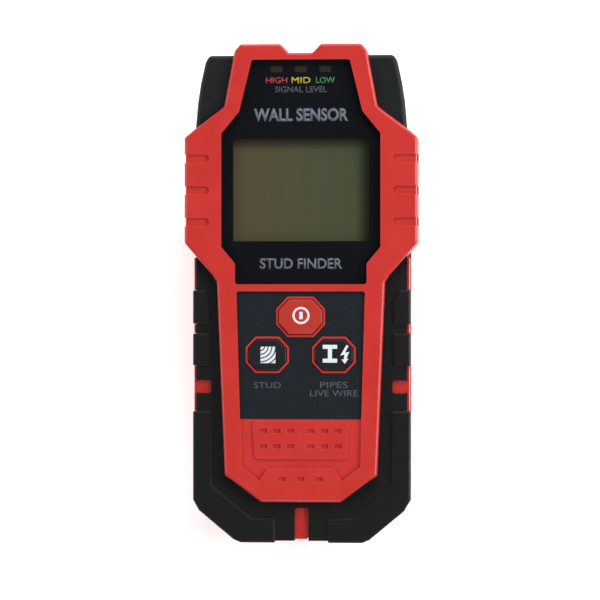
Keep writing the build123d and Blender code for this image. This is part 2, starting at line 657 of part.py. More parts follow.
with BuildPart() as light_guide:
    with BuildSketch(Plane.XY.offset(board_face + led_high + seat_gap)):
        with Locations((0, light_y)):
            Rectangle(2 * light_pitch + light_width, light_height + 1.0)
    extrude(amount=lcd_top - board_face - led_high - seat_gap)
    with BuildSketch(Plane.XY.offset(lcd_top)):
        with Locations((0, light_y)):
            with GridLocations(light_pitch, 0, 3, 1):
                Rectangle(light_width, light_height)
    extrude(amount=bezel_top - lcd_top)
keep("light_guide", light_guide)

with BuildPart() as signal_leds:
    with BuildSketch(Plane.XY.offset(board_face)):
        with Locations((0, light_y)):
            with GridLocations(light_pitch, 0, 3, 1):
                Rectangle(*led_size)
    extrude(amount=led_high)
    chamfer(signal_leds.faces().group_by(Axis.Z)[-1].edges(), 0.25)
keep("signal_leds", signal_leds)

glass_half = view_half + lcd_margin
glass_foot, glass_head = view_foot - lcd_margin, view_top + lcd_margin
ledge_end = glass_head + lcd_ledge
with BuildPart() as lcd_panel:
    box_between((-glass_half, glass_foot, lcd_bottom), (glass_half, ledge_end, lcd_bottom + lcd_glass))
    box_between((-glass_half, glass_foot, lcd_bottom + lcd_glass), (glass_half, glass_head, lcd_top))
keep("lcd_panel", lcd_panel)

with BuildPart() as lcd_backlight:
    box_between((-glass_half, glass_foot, board_face), (glass_half, glass_head, lcd_bottom))
    fillet(lcd_backlight.edges().filter_by(Axis.Z), 0.8)
keep("lcd_backlight", lcd_backlight)

with BuildPart() as lcd_contact_strip:
    strip_half = glass_half - strip_inset
    box_between((-strip_half, glass_head + seat_gap, board_face), (strip_half, ledge_end - 0.8, lcd_bottom))
keep("lcd_contact_strip", lcd_contact_strip)

# ======== Keypad ========
with BuildPart() as keypad_panel:
    with BuildSketch(Plane.XY.offset(panel_z)):
        trace(both_sides(panel_points()), panel_corners)
        for spot, size, corner in keys.values():
            grown = octagon_points(size, corner, key_gap + collar_wall + 0.05)
            trace([(x + spot[0], y + spot[1]) for x, y in both_sides(grown)], 0.8, Mode.SUBTRACT)
    extrude(amount=panel_thick)
keep("keypad_panel", keypad_panel)

for name, (spot, size, corner) in keys.items():
    with BuildPart() as key:
        with BuildSketch(Plane.XY.offset(key_flange_bottom).shift_origin((*spot, key_flange_bottom))):
            trace(both_sides(octagon_points(size, corner)), 0.5)
        extrude(amount=face_z + key_proud - key_flange_bottom)
        fillet(key.faces().sort_by(Axis.Z)[-1].edges(), key_edge)
        with BuildSketch(Plane.XY.offset(key_flange_bottom).shift_origin((*spot, key_flange_bottom))):
            trace(both_sides(octagon_points(size, corner, key_flange)), 0.5)
        extrude(amount=key_flange_thick)
    keep(f"{name}_key", key)

    with BuildPart() as plunger:
        with BuildSketch(Plane.XY.offset(plunger_bottom)):
            with Locations(spot):
                Circle(plunger_r)
        extrude(amount=key_flange_bottom - plunger_bottom)
    keep(f"{name}_plunger", plunger)

with BuildPart() as switch_bodies:
    with BuildSketch(Plane.XY.offset(board_face)):
        with Locations(*(spot for spot, size, corner in keys.values())):
            RectangleRounded(switch_size, switch_size, 0.6)
    extrude(amount=switch_top - board_face)
    with BuildSketch(Plane.XY.offset(board_face + switch_floor)):
        with Locations(*(spot for spot, size, corner in keys.values())):
            Circle(plunger_r + plunger_gap)
    extrude(amount=switch_top - board_face, mode=Mode.SUBTRACT)
keep("switch_bodies", switch_bodies)

# ======== Main board ========
with BuildPart() as main_board:
    with BuildSketch(Plane.XY.offset(board_bottom)):
        trace(both_sides(board_points()), 0.8)
        with Locations(*both(board_posts)):
            Circle(post_hole_r + 0.2, mode=Mode.SUBTRACT)
    extrude(amount=board_thick)
keep("main_board", main_board)

with BuildPart() as board_screws:
    with BuildSketch(Plane.XY.offset(board_bottom)):
        with Locations(*both(board_posts)):
            Circle(board_screw_r)
    extrude(amount=-board_screw_head)
    with BuildSketch(Plane.XY.offset(board_bottom)):
        with Locations(*both(board_posts)):
            Circle(post_hole_r - 0.05)
    extrude(amount=hollow_z - 1.0 - board_bottom)
keep("board_screws", board_screws)

with BuildPart() as controller_chip:
    with BuildSketch(Plane.XY.offset(board_bottom)):
        with Locations((0, chip_y)):
            Rectangle(chip_size, chip_size)
    extrude(amount=-chip_thick)
    chamfer(controller_chip.faces().sort_by(Axis.Z)[0].edges(), 0.2)
keep("controller_chip", controller_chip)

with BuildPart() as capacitors:
    with BuildSketch(Plane.XY.offset(board_bottom)):
        with Locations(*can_spots):
            Circle(can_r)
    extrude(amount=-can_high)
    fillet(capacitors.faces().group_by(Axis.Z)[0].edges(), 0.4)
keep("capacitors", capacitors)

with BuildPart() as sounder:
    with BuildSketch(Plane.XY.offset(board_bottom)):
        with Locations((0, sounder_y)):
            Circle(sounder_r)
    extrude(amount=-sounder_high)
    with BuildSketch(Plane.XY.offset(board_bottom - sounder_high)):
        with Locations((0, sounder_y)):
            Circle(sounder_hole_r)
    extrude(amount=1, mode=Mode.SUBTRACT)
keep("sounder", sounder)

# ======== Sensing end ========
sensor_board_face = sensor_board_bottom + sensor_board_thick
sensor_middle = (sensor_board_foot + sensor_board_top) / 2
with BuildPart() as sensor_board:
    with BuildSketch(Plane.XY.offset(sensor_board_bottom)):
        with Locations((0, sensor_middle)):
            RectangleRounded(2 * sensor_board_half, sensor_board_top - sensor_board_foot, 2.0)
    extrude(amount=sensor_board_thick)
keep("sensor_board", sensor_board)

with BuildPart() as sensing_plates:
    with BuildSketch(Plane.XY.offset(sensor_board_bottom)):
        with Locations((0, sensor_middle)):
            with GridLocations(0, plate_pitch, 1, plate_count):
                RectangleRounded(*plate_size, 1.5)
    extrude(amount=-plate_thick)
keep("sensing_plates", sensing_plates)

with BuildPart() as coil_former:
    with BuildSketch(Plane.XY.offset(sensor_board_face)):
        with Locations((0, coil_y)):
            Circle(coil_r_out)
            Circle(coil_r_in - former_wall, mode=Mode.SUBTRACT)
    extrude(amount=former_wall)
    with BuildSketch(Plane.XY.offset(sensor_board_face)):
        with Locations((0, coil_y)):
            Circle(coil_r_in)
            Circle(coil_r_in - former_wall, mode=Mode.SUBTRACT)
    extrude(amount=coil_high)
    with BuildSketch(Plane.XY.offset(sensor_board_face + coil_high)):
        with Locations((0, coil_y)):
            Circle(coil_r_out)
            Circle(coil_r_in - former_wall, mode=Mode.SUBTRACT)
    extrude(amount=former_wall)
keep("coil_former", coil_former)

with BuildPart() as search_coil:
    with BuildSketch(Plane.XY.offset(sensor_board_face + former_wall)):
        with Locations((0, coil_y)):
            Circle(coil_r_out - 0.6)
            Circle(coil_r_in, mode=Mode.SUBTRACT)
    extrude(amount=coil_high - former_wall)
keep("search_coil", search_coil)

with BuildPart() as link_header:
    with BuildSketch(Plane.XY.offset(sensor_board_face)):
        with Locations((0, link_y)):
            Rectangle(pin_count * pin_pitch, pin_pitch)
            with GridLocations(pin_pitch, 0, pin_count, 1):
                Rectangle(pin_wide, pin_wide, mode=Mode.SUBTRACT)
    extrude(amount=header_high)
keep("link_header", link_header)

with BuildPart() as link_pins:
    with BuildSketch(Plane.XY.offset(sensor_board_face)):
        with Locations((0, link_y)):
            with GridLocations(pin_pitch, 0, pin_count, 1):
                Rectangle(pin_wide, pin_wide)
    extrude(amount=board_bottom - sensor_board_face)
keep("link_pins", link_pins)

# ======== Battery and its leads ========
battery_middle = battery_bottom + battery_thick / 2
with BuildPart() as battery:
    battery_half = battery_wide / 2
    box_between((-battery_half, battery_foot, battery_bottom), (battery_half, battery_head, battery_top))
    fillet(battery.edges().filter_by(Axis.Y), battery_corner)
keep("battery", battery)

terminal_plane = Plane(origin=(0, battery_head, battery_middle), x_dir=(1, 0, 0), z_dir=(0, 1, 0))
with BuildPart() as battery_terminals:
    with BuildSketch(terminal_plane):
        with Locations((-terminal_x, 0), (terminal_x, 0)):
            Circle(terminal_r)
    extrude(amount=terminal_long)
keep("battery_terminals", battery_terminals)

with BuildPart() as battery_snap:
    with BuildSketch(terminal_plane.offset(terminal_long)):
        RectangleRounded(*snap_size, 2.0)
    extrude(amount=snap_thick)
keep("battery_snap", battery_snap)

lead_y, lead_z = battery_head + terminal_long + snap_thick / 2, battery_middle + snap_size[1] / 2
solder_y = lead_y + 1.8
for name, side in (("battery_lead_red", 1), ("battery_lead_black", -1)):
    with BuildPart() as lead:
        with BuildLine() as route:
            FilletPolyline((side * lead_snap_x, lead_y, lead_z), (side * lead_snap_x, lead_y, lead_z + 1.9),
                           (side * lead_board_x, solder_y, board_bottom - 1.6),
                           (side * lead_board_x, solder_y, board_bottom), radius=lead_bend)
        with BuildSketch(Plane(origin=route.line @ 0, z_dir=route.line % 0)):
            Circle(lead_r)
        sweep()
    keep(name, lead)

with BuildPart() as battery_cushion:
    box_between((-cushion_half, battery_foot + cushion_inset, battery_top),
                (cushion_half, battery_head - cushion_inset, bay_ceiling))
keep("battery_cushion", battery_cushion)
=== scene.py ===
"""Looks of the stud finder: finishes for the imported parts, printed labels, key symbols, light and camera."""
import json
import math

import bpy
import numpy as np
from mathutils import Matrix, Vector


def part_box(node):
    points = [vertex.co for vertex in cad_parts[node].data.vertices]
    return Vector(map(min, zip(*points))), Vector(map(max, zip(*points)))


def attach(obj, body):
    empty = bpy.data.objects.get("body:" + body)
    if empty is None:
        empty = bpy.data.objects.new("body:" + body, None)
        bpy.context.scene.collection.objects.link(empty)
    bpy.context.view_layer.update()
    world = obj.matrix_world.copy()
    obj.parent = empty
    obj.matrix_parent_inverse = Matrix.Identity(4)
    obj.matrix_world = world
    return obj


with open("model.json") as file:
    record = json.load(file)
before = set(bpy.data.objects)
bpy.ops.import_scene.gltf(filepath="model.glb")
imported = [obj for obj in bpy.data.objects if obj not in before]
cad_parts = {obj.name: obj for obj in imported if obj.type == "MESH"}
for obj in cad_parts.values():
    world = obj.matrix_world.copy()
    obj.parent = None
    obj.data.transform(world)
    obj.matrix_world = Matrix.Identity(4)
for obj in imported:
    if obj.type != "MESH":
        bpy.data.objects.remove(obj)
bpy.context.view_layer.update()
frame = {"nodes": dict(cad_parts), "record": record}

mm = 0.001
nodes = frame["nodes"]
scene = bpy.context.scene


# ---- Camera: above the face, a little to its right, with a long lens
def aim(place, target, up):
    """Matrix of something at place that looks at target, with up towards the top of its view."""
    back = (Vector(place) - Vector(target)).normalized()
    right = Vector(up).cross(back).normalized()
    turn = Matrix((right, back.cross(right), back)).transposed()
    return Matrix.Translation(place) @ turn.to_4x4()


casing_low, casing_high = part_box("front_shell")
face_z = casing_high.z
view_width = 195.6 * mm            # what the frame takes in at the face
view_distance = 0.95
view_turn = math.radians(4.5)      # how far the camera stands to the right
view_target = Vector((-0.16 * mm, -2.1 * mm, face_z))
camera = bpy.data.cameras.new("camera")
camera.sensor_width = 36.0
camera.lens = camera.sensor_width * view_distance / view_width
camera_object = bpy.data.objects.new("camera", camera)
view_from = view_target + view_distance * Vector((math.sin(view_turn), 0, math.cos(view_turn)))
camera_object.matrix_world = aim(view_from, view_target, (0, 1, 0))
scene.collection.objects.link(camera_object)
scene.camera = camera_object
scene.view_settings.view_transform = "Standard"


# ---- Materials
def linear(code):
    """Linear colour with alpha 1 from an sRGB hex code."""
    value = np.array([int(code[i:i + 2], 16) / 255 for i in (1, 3, 5)])
    value = np.where(value <= 0.04045, value / 12.92, ((value + 0.055) / 1.055) ** 2.4)
    return (*value.tolist(), 1.0)


def add(tree, kind, inputs=None, **settings):
    """One shader node with its settings; an input given as a socket is linked, and any other is set."""
    node = tree.nodes.new("ShaderNode" + kind)
    for name, value in settings.items():
        setattr(node, name, value)
    for name, value in (inputs or {}).items():
        if isinstance(value, bpy.types.NodeSocket):
            tree.links.new(value, node.inputs[name])
        else:
            node.inputs[name].default_value = value
    return node


def new_material(name):
    """Material with its tree, its Principled shader and its Object coordinates."""
    material = bpy.data.materials.new(name)
    material.use_nodes = True
    tree = material.node_tree
    tree.nodes.clear()
    shader = add(tree, "BsdfPrincipled")
    output = add(tree, "OutputMaterial")
    tree.links.new(shader.outputs[0], output.inputs[0])
    place = add(tree, "TexCoord").outputs["Object"]
    return material, tree, shader, place


def fix(shader, **values):
    """Values set on the shader's own sockets, underscores standing for spaces."""
    for name, value in values.items():
        shader.inputs[name.replace("_", " ")].default_value = value


def ramp(tree, source, stops):
    """Colour ramp over (position, colour) stops."""
    node = add(tree, "ValToRGB", {"Fac": source})
    elements = node.color_ramp.elements
    while len(elements) < len(stops):
        elements.new(0.5)
    for element, (position, colour) in zip(elements, stops):
        element.position = position
        element.color = colour
    return node.outputs["Color"]


def span(tree, source, low, high):
    """Value between low and high as source runs from 0 to 1."""
    return add(tree, "MapRange", {"Value": source, "To Min": low, "To Max": high}).outputs["Result"]


def wave_scale(pitch):
    """Scale of a wave texture with bands a pitch apart: the texture turns through 20 radians in one unit."""
    return 2 * math.pi / (20 * pitch)


# the painted corner highlight fades in as the rounded normal turns away from the true one, between these
flat_surface, sharp_corner = 0.995, 0.9       # cosine between the rounded and the true normal


def moulded(name, tones, gloss, grain=0.45, depth=0.02, mottle=9.0, edge=None, edge_radius=0.25):
    """Moulded plastic or rubber: a spark-eroded grain of the given size and depth in millimetres, a slow
    mottle between two tones, and with edge a painted highlight: a lighter line along the corners."""
    material, tree, shader, place = new_material(name)
    slow = add(tree, "TexNoise", {"Vector": place, "Scale": 1 / (mottle * mm), "Detail": 3.0}).outputs["Fac"]
    fine = add(tree, "TexNoise", {"Vector": place, "Scale": 1 / (grain * mm), "Detail": 2.0}).outputs["Fac"]
    colour = ramp(tree, slow, [(0.3, linear(tones[0])), (0.7, linear(tones[1]))])
    rough = span(tree, fine, *gloss)
    # painted highlight: the base colour is mixed towards the lighter edge colour where the bevel rounds a
    # corner
    if edge:
        bevel = add(tree, "Bevel", {"Radius": edge_radius * mm}, samples=8).outputs["Normal"]
        normal = add(tree, "NewGeometry").outputs["Normal"]
        turn = add(tree, "VectorMath", {0: bevel, 1: normal}, operation="DOT_PRODUCT").outputs["Value"]
        corner = add(tree, "MapRange", {"Value": turn, "From Min": flat_surface, "From Max": sharp_corner})
        colour = add(tree, "MixRGB", {
            "Fac": corner.outputs["Result"], "Color1": colour, "Color2": linear(edge),
        }).outputs["Color"]
    tree.links.new(colour, shader.inputs["Base Color"])
    tree.links.new(rough, shader.inputs["Roughness"])
    bump = add(tree, "Bump", {"Height": fine, "Distance": depth * mm, "Strength": 0.6})
    tree.links.new(bump.outputs["Normal"], shader.inputs["Normal"])
    return material, shader


def red_abs():
    """Injection-moulded red ABS, spark-eroded mould: satin, fine grain, with a painted highlight paler along
    its corners.
    """
    # edge: painted highlight, a paler red along the corners
    material, shader = moulded(
        "moulded_red_abs", ("#aa2520", "#b02b26"), (0.32, 0.42), grain=0.5, depth=0.012, edge="#bb443f"
    )
    fix(shader, IOR=1.54, Specular_IOR_Level=0.4)
    return material


def black_abs():
    """Injection-moulded black ABS: satin, with a slightly smoother grain than the grip."""
    # edge: painted highlight, a lighter grey along the corners
    material, shader = moulded(
        "moulded_black_abs", ("#141618", "#181a1c"), (0.42, 0.54), grain=0.4, depth=0.01, edge="#2e3033"
    )
    fix(shader, IOR=1.54, Specular_IOR_Level=0.13)
    return material


def grip_rubber():
    """Overmoulded thermoplastic rubber: matte and soft, with a dusty sheen at grazing angles."""
    # edge: painted highlight, a grey line along the corners
    material, shader = moulded(
        "thermoplastic_rubber", ("#0a0a0b", "#0d0d0e"), (0.46, 0.60), grain=0.55, depth=0.03, edge="#2a2929"
    )
    fix(shader, IOR=1.5, Specular_IOR_Level=0.2, Sheen_Weight=0.01, Sheen_Roughness=0.5)
    return material


def panel_inlay():
    """Printed polycarbonate inlay with a velvet-textured top: dark slate, matte, faintly speckled."""
    material, shader = moulded(
        "velvet_polycarbonate", ("#12171b", "#161b20"), (0.55, 0.66), grain=0.6, depth=0.01, mottle=1.2
    )
    fix(shader, IOR=1.58, Specular_IOR_Level=0.1)
    return material


def red_key():
    """Moulded red key cap: ABS like the frame, smoother and a shade more orange."""
    # edge: painted highlight, a lighter red along the key's corners
    material, shader = moulded(
        "moulded_red_key", ("#9b271c", "#a12d22"), (0.38, 0.48), grain=0.4, depth=0.008, edge="#b23c30"
    )
    fix(shader, IOR=1.54, Specular_IOR_Level=0.3)
    return material


def black_key():
    """Moulded black key cap: smooth satin ABS."""
    # edge: painted highlight, a lighter line along the key's corners
    material, shader = moulded(
        "moulded_black_key", ("#121316", "#16171a"), (0.38, 0.48), grain=0.4, depth=0.008, edge="#1d1e21"
    )
    fix(shader, IOR=1.54, Specular_IOR_Level=0.25)
    return material


def clear_acrylic():
    """Polished acrylic window: nearly all see-through, a faint smoky tint, with the slight haze of wiping
    in its gloss."""
    material, tree, shader, place = new_material("polished_acrylic")
    haze = add(tree, "TexNoise", {"Vector": place, "Scale": 1 / (14 * mm), "Detail": 4.0}).outputs["Fac"]
    tree.links.new(span(tree, haze, 0.04, 0.08), shader.inputs["Roughness"])
    fix(shader, Base_Color=linear("#050507"), IOR=1.49, Specular_IOR_Level=0.5, Alpha=0.1)
    return material


lcd_low, lcd_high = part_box("lcd_panel")
lcd_margin, lcd_ledge = 1.0 * mm, 3.6 * mm         # glass under the surround, and its ledge for contacts
lcd_view = (
    Vector((lcd_low.x + lcd_margin, lcd_low.y + lcd_margin, 0)),
    Vector((lcd_high.x - lcd_margin, lcd_high.y - lcd_ledge - lcd_margin, 0)),
)


def bezel_black():
    """Black back-printed surround under the window: deep blue-black, smooth."""
    material, tree, shader, place = new_material("screen_printed_black")
    slow = add(tree, "TexNoise", {"Vector": place, "Scale": 1 / (20 * mm), "Detail": 2.0}).outputs["Fac"]
    colour = ramp(tree, slow, [(0.3, linear("#020409")), (0.7, linear("#04070d"))])
    tree.links.new(colour, shader.inputs["Base Color"])
    fix(shader, Roughness=0.7, Specular_IOR_Level=0.1)
    return material


def lcd_glass():
    """Switched-off liquid crystal panel: olive polariser, browner at the left and greener at the right, with
    broad slanting streaks from rolling, faint rows of electrodes, and a painted shadow of the surround: a dark
    brown band along the top and the right."""
    material, tree, shader, place = new_material("liquid_crystal_polariser")
    window_low, window_high = lcd_view
    axes = add(tree, "SeparateXYZ", {"Vector": place})
    across = add(tree, "MapRange", {
        "Value": axes.outputs["X"], "From Min": window_low.x, "From Max": window_high.x,
    })
    slant, stretch, streak_width = math.radians(-32), 0.16, 9 * mm
    slanted = add(tree, "Mapping", {"Vector": place, "Rotation": (0, 0, slant), "Scale": (1.0, stretch, 1.0)})
    streak = add(tree, "TexNoise", {
        "Vector": slanted.outputs[0], "Scale": 1 / streak_width, "Detail": 1.5,
    }).outputs["Fac"]
    drift = span(tree, streak, -0.85, 0.85)
    tone = add(tree, "Math", {0: across.outputs[0], 1: drift}, operation="ADD").outputs[0]
    colour = ramp(tree, tone, [(0.0, linear("#564c37")), (0.4, linear("#504f37")), (0.95, linear("#434d37"))])
    row_pitch = 3.77 * mm          # coarser than real electrode rows, which are too fine to show
    rows = add(tree, "TexWave", {"Vector": place, "Scale": wave_scale(row_pitch)}, bands_direction="Y")
    dim = span(tree, rows.outputs["Fac"], 0.97, 1.0)
    colour = add(tree, "MixRGB", {
        "Fac": 1.0, "Color1": colour, "Color2": dim,
    }, blend_type="MULTIPLY").outputs[0]
    # painted shadow of the surround: the panel turns warm brown towards its top and right edges, where the
    # surround's shadow falls
    painted_bezel_shadow, bezel_shadow_depth = linear("#231c12"), 0.8
    for axis, edge, reach in (("Y", window_high.y, 4.8 * mm), ("X", window_high.x, 5.4 * mm)):
        shadow_falloff = add(tree, "MapRange", {
            "Value": axes.outputs[axis], "From Min": edge - reach, "From Max": edge,
        }, interpolation_type="SMOOTHSTEP").outputs[0]
        shadow_share = span(tree, shadow_falloff, 0.0, bezel_shadow_depth)
        colour = add(tree, "MixRGB", {"Fac": shadow_share, "Color1": colour, "Color2": painted_bezel_shadow}).outputs[0]
    tree.links.new(colour, shader.inputs["Base Color"])
    fix(shader, Roughness=0.38, IOR=1.5, Specular_IOR_Level=0.3)
    return material


def plain(name, tones, gloss, metallic=0.0, grain=0.4, depth=0.005, mottle=3.0, **values):
    """Small fitting: two close tones, a light grain in the gloss and, with metallic, bare metal."""
    material, shader = moulded(name, tones, gloss, grain, depth, mottle)
    fix(shader, Metallic=metallic, **values)
    return material


def felt():
    """Pressed wool felt: matted short fibres, very rough, with a soft sheen."""
    material, shader = moulded(
        "pressed_felt", ("#131314", "#232324"), (0.85, 1.0), grain=0.35, depth=0.12, mottle=0.8
    )
    fix(shader, Sheen_Weight=0.35, Sheen_Roughness=0.6)
    return material


def circuit_board():
    """Glass-fibre board under green solder mask, its copper tracks showing through as paler straight runs."""
    material, tree, shader, place = new_material("green_solder_mask")
    tracks = add(tree, "TexBrick", {
        "Vector": place, "Scale": 1 / (8 * mm), "Mortar Size": 0.04, "Brick Width": 0.9, "Row Height": 0.22,
        "Color1": linear("#0c4a26"), "Color2": linear("#0e5a2c"), "Mortar": linear("#2d7a44"),
    })
    tree.links.new(tracks.outputs["Color"], shader.inputs["Base Color"])
    fix(shader, Roughness=0.3, Coat_Weight=0.5)
    return material


def copper_turns():
    """Enamelled copper winding: turns drawn as rings round the coil's axis, coarser than real wire."""
    material, tree, shader, place = new_material("enamelled_copper")
    low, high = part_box("search_coil")
    centre = Vector(((low.x + high.x) / 2, (low.y + high.y) / 2, 0))
    local = add(tree, "Mapping", {"Vector": place, "Location": -centre}).outputs[0]
    ring_pitch = 4.4 * mm
    rings = add(tree, "TexWave", {"Vector": local, "Scale": wave_scale(ring_pitch)}, wave_type="RINGS",
                rings_direction="Z")
    colour = ramp(tree, rings.outputs["Fac"], [(0.0, linear("#7a3a1c")), (0.6, linear("#c8743c"))])
    tree.links.new(colour, shader.inputs["Base Color"])
    bump = add(tree, "Bump", {"Height": rings.outputs["Fac"], "Distance": 0.1 * mm})
    tree.links.new(bump.outputs[0], shader.inputs["Normal"])
    fix(shader, Metallic=0.9, Roughness=0.28)
    return material


def battery_jacket():
    """Lacquered steel jacket of the battery: dark grey, with an orange band round its terminal end."""
    material, tree, shader, place = new_material("lacquered_steel_jacket")
    low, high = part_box("battery")
    along = add(tree, "SeparateXYZ", {"Vector": place}).outputs["Y"]
    share = add(tree, "MapRange", {"Value": along, "From Min": low.y, "From Max": high.y}).outputs[0]
    band_foot, band_blend = 0.70, 0.005       # share of the battery's length
    colour = ramp(tree, share, [
        (0.0, linear("#26292f")), (band_foot, linear("#2c3038")), (band_foot + band_blend, linear("#b8863c")),
        (1.0, linear("#c2914a")),
    ])
    tree.links.new(colour, shader.inputs["Base Color"])
    scuffs = add(tree, "TexNoise", {"Vector": place, "Scale": 1 / (3 * mm), "Detail": 4.0}).outputs["Fac"]
    tree.links.new(span(tree, scuffs, 0.2, 0.4), shader.inputs["Roughness"])
    fix(shader, Metallic=0.2, Coat_Weight=0.4, Coat_Roughness=0.1)
    return material


def ink(name, tones):
    """Screen-printed ink: flat and opaque, slightly uneven in tone."""
    return plain(name, tones, (0.5, 0.6), grain=0.3, depth=0.002, mottle=1.5)


finishes = {
    "red_abs": red_abs(),
    "grip_rubber": grip_rubber(),
    "black_abs": black_abs(),
    "bezel_black": bezel_black(),
    "clear_window": clear_acrylic(),
    "adhesive": plain("foam_tape", ("#0b0b0c", "#121213"), (0.8, 0.9)),
    "lcd_glass": lcd_glass(),
    "light_diffuser": plain("milky_acrylic", ("#d8d9d4", "#e4e5e0"), (0.3, 0.4)),
    "light_guide": plain("smoked_light_guide", ("#2c2421", "#3c322d"), (0.2, 0.3), mottle=1.0),
    "led_body": plain("lamp_epoxy", ("#d9d3a8", "#e8e4c4"), (0.2, 0.3)),
    "contact_rubber": plain("striped_silicone", ("#3a3a3c", "#6a6a6c"), (0.6, 0.7), mottle=0.4),
    "panel_slate": panel_inlay(),
    "red_key": red_key(),
    "black_key": black_key(),
    "switch_black": plain("moulded_epoxy_body", ("#101012", "#1a1a1c"), (0.4, 0.5)),
    "plunger_brown": plain("phenolic_plunger", ("#3a2417", "#4a2e1e"), (0.4, 0.5)),
    "circuit_board": circuit_board(),
    "screw_steel": plain("zinc_plated_steel", ("#9c9ea2", "#b4b6b8"), (0.28, 0.42), metallic=1.0),
    "capacitor_can": plain("drawn_aluminium", ("#b8babd", "#c8cacc"), (0.25, 0.35), metallic=1.0),
    "copper": copper_turns(),
    "nylon": plain("natural_nylon", ("#d9d6c8", "#e6e3d8"), (0.4, 0.5)),
    "gold_pin": plain("gold_flash", ("#d8ac4c", "#e6c070"), (0.25, 0.35), metallic=1.0),
    "battery_jacket": battery_jacket(),
    "nickel": plain("nickel_plate", ("#b9b8b2", "#cac9c4"), (0.15, 0.28), metallic=1.0),
    "snap_vinyl": plain("soft_vinyl", ("#131313", "#1d1d1d"), (0.5, 0.6)),
    "lead_red": plain("red_pvc", ("#9c1616", "#b01c1c"), (0.35, 0.45)),
    "lead_black": plain("black_pvc", ("#0e0e0e", "#161616"), (0.35, 0.45)),
    "foam": plain("open_cell_foam", ("#1b1b1d", "#3c3c40"), (0.9, 1.0), grain=0.5, depth=0.2, mottle=0.5),
    "felt": felt(),
}
for part in frame["record"]["subparts"]:
    slots = nodes[part["node"]].material_slots
    for index in range(len(slots)):
        slots[index].material = finishes[part["material_slot"]]

white_ink = ink("white_key_ink", ("#bdc4cc", "#c8ced5"))
grey_ink = ink("grey_label_ink", ("#565e6a", "#5e6672"))
dim_ink = ink("dim_label_ink", ("#3a4148", "#42494f"))
red_ink = ink("red_label_ink", ("#98292b", "#a02f2f"))
yellow_ink = ink("yellow_label_ink", ("#aa9d14", "#b2a51a"))
green_ink = ink("green_label_ink", ("#287a30", "#2e8236"))


# ---- Printed labels and symbols
film = 0.03 * mm                   # thickness of a print
lift = 0.02 * mm                   # above what it is printed on


def piece_from(name, points, faces, material, body):
    """Mesh piece from arrays of points and faces, riding on a body."""
    mesh = bpy.data.meshes.new(name)
    mesh.from_pydata(np.asarray(points, float).tolist(), [], [list(face) for face in faces])
    mesh.materials.append(material)
    mesh.validate()
    item = bpy.data.objects.new(name, mesh)
    scene.collection.objects.link(item)
    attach(item, body)


def plate(outline, low, high):
    """Points and faces of a flat plate: an outline at two heights, joined by a wall and closed at both."""
    outline = np.asarray(outline, float)
    count = len(outline)
    points = np.vstack([np.column_stack([outline, np.full(count, z)]) for z in (low, high)])
    ring = np.arange(count)
    after = (ring + 1) % count
    wall = np.column_stack([ring, after, after + count, ring + count])
    return points, [*wall.tolist(), (ring + count).tolist(), ring[::-1].tolist()]


def band(angle, inner, outer, low, high):
    """Points and faces of a flat band about the origin: each angle has an inner and an outer radius, at two
    heights. The ends are closed unless the angles run all the way round."""
    spoke = np.column_stack([np.cos(angle), np.sin(angle)])
    inner, outer = np.broadcast_to(inner, angle.shape), np.broadcast_to(outer, angle.shape)
    rows = [(outer, low), (outer, high), (inner, high), (inner, low)]
    grid = np.stack([np.column_stack([spoke * r[:, None], np.full(len(angle), z)]) for r, z in rows])
    count = len(angle)
    steps = np.arange(count - 1)
    faces = []
    for row in range(4):
        a, b = row * count, ((row + 1) % 4) * count
        faces += np.column_stack([a + steps, a + steps + 1, b + steps + 1, b + steps]).tolist()
    if abs(angle[-1] - angle[0]) < 2 * math.pi - 1e-6:
        faces += [[0, count, 2 * count, 3 * count], [4 * count - 1, 3 * count - 1, 2 * count - 1, count - 1]]
    return grid.reshape(-1, 3), faces


def joined(parts, shift):
    """One set of points and faces from several, all moved by shift."""
    points, faces, start = [], [], 0
    for some_points, some_faces in parts:
        points.append(some_points)
        faces += [[index + start for index in face] for face in some_faces]
        start += len(some_points)
    return np.vstack(points) + np.asarray(shift), faces


def words(name, text, centre, cap, width, material, body, weight=0.0, facing_down=False):
    """Line of lettering in the built-in typeface, made a mesh, its capitals cap high and its line width wide,
    with weight thickening its strokes. Facing down it is turned over about Y, so that it reads from below."""
    curve = bpy.data.curves.new(name, "FONT")
    curve.body = text
    curve.align_x = "CENTER"
    curve.size = 1.0
    curve.offset = weight
    curve.resolution_u = 4
    flat = bpy.data.objects.new(name + "_outline", curve)
    scene.collection.objects.link(flat)
    bpy.context.view_layer.update()
    mesh = bpy.data.meshes.new_from_object(flat.evaluated_get(bpy.context.evaluated_depsgraph_get()))
    bpy.data.objects.remove(flat)
    co = np.empty(len(mesh.vertices) * 3)
    mesh.vertices.foreach_get("co", co)
    co = co.reshape(-1, 3)
    low, high = co.min(0), co.max(0)
    scale = np.array([width / (high[0] - low[0]), cap / (high[1] - low[1]), 1.0])
    co = (co - [(low[0] + high[0]) / 2, (low[1] + high[1]) / 2, 0]) * scale
    co = co * ([-1, 1, 1] if facing_down else 1) + np.asarray(centre)
    mesh.vertices.foreach_set("co", co.ravel())
    if facing_down:
        mesh.flip_normals()
    mesh.name = name
    mesh.materials.clear()
    mesh.materials.append(material)
    item = bpy.data.objects.new(name, mesh)
    scene.collection.objects.link(item)
    solid = item.modifiers.new("film", "SOLIDIFY")
    solid.thickness, solid.offset = film, 1.0
    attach(item, body)


def top_of(node):
    """Height just above a node's upper face."""
    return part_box(node)[1].z + lift


def middle(node):
    """Centre of a node in plan."""
    low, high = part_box(node)
    return np.array([(low.x + high.x) / 2, (low.y + high.y) / 2])


lamp_half, lamp_high = 2.0 * mm, 1.0 * mm          # half the width and height of a signal light's opening


